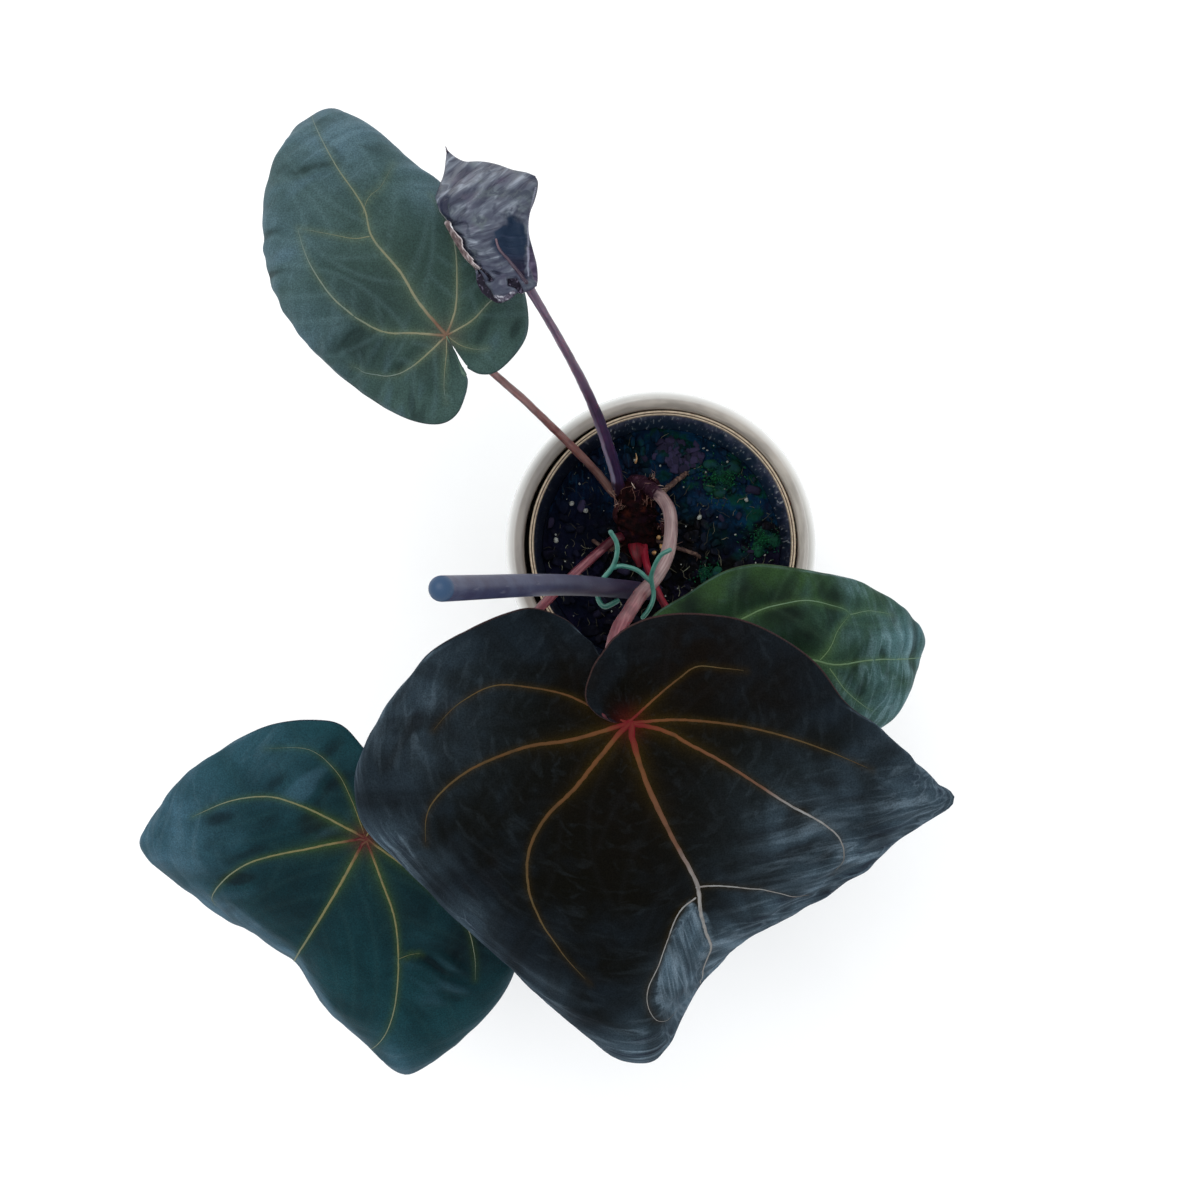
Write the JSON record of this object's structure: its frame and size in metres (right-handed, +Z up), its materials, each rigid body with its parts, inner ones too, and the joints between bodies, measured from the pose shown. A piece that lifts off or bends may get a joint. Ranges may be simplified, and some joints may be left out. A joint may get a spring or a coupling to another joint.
{
  "type": "potted anthurium hybrid",
  "caption": "Potted aroid house plant with dark heart-shaped velvety leaves on long petioles, in a nursery pot inside a white glazed cover pot, with a leaning stake and a spring clip.",
  "frame": {"origin": "centre of the cover pot's flat underside, on the surface it stands on", "axes": "+Z up, along the pot's axis; -X is the side the stake leans to and -Y the side the largest leaf hangs over"},
  "size_m": [0.3204, 0.3834, 0.3501],
  "materials": {
    "glaze": "glossy white glaze",
    "nursery_plastic": "satin cream plastic",
    "soil": "dark damp bark and peat mix",
    "stem_bark": "dark reddish brown",
    "stake_coating": "satin blue grey coating",
    "clip_plastic": "teal moulded plastic",
    "petiole_mauve": "satin brown mauve",
    "petiole_purple": "satin purple",
    "petiole_pink": "satin pink grey",
    "petiole_red": "satin red",
    "petiole_rose": "satin rose",
    "leaf_blue_green": "matte blue green with pale veins",
    "leaf_new_growth": "glossy grey violet, creased",
    "leaf_dark_velvet": "near-black velvet with orange brown veins",
    "leaf_green": "bumpy green to teal",
    "leaf_teal": "teal velvet with yellow veins",
    "husk": "dry papery sheath",
    "crimson_sheath": "waxy crimson",
    "root": "rough pale root",
    "perlite": "chalky white grain",
    "amber_bead": "amber resin coat",
    "moss": "soft green moss"
  },
  "bodies": {
    "root": {"outer_pot": "glaze", "nursery_pot": "nursery_plastic", "substrate": "soil", "stem": "stem_bark", "stake": "stake_coating", "plant_clip": "clip_plastic", "petiole_upper_left": "petiole_mauve", "petiole_new": "petiole_purple", "petiole_centre": "petiole_pink", "petiole_right": "petiole_red", "petiole_lower_left": "petiole_rose", "leaf_upper_left": "leaf_blue_green", "leaf_new": "leaf_new_growth", "leaf_centre": "leaf_dark_velvet", "leaf_right": "leaf_green", "leaf_lower_left": "leaf_teal", "cataphyll_1": "husk", "cataphyll_2": "husk", "cataphyll_3": "husk", "red_sheath": "crimson_sheath", "aerial_root_1": "root", "aerial_root_2": "root", "aerial_root_3": "root", "perlite_1": "perlite", "perlite_2": "perlite", "perlite_3": "perlite", "perlite_4": "perlite", "perlite_5": "perlite", "perlite_6": "perlite", "perlite_7": "perlite", "perlite_8": "perlite", "fertiliser_bead_1": "amber_bead", "fertiliser_bead_2": "amber_bead", "fertiliser_bead_3": "amber_bead", "moss_patch_1": "moss", "moss_patch_2": "moss", "moss_patch_3": "moss"}
  },
  "joints": []
}
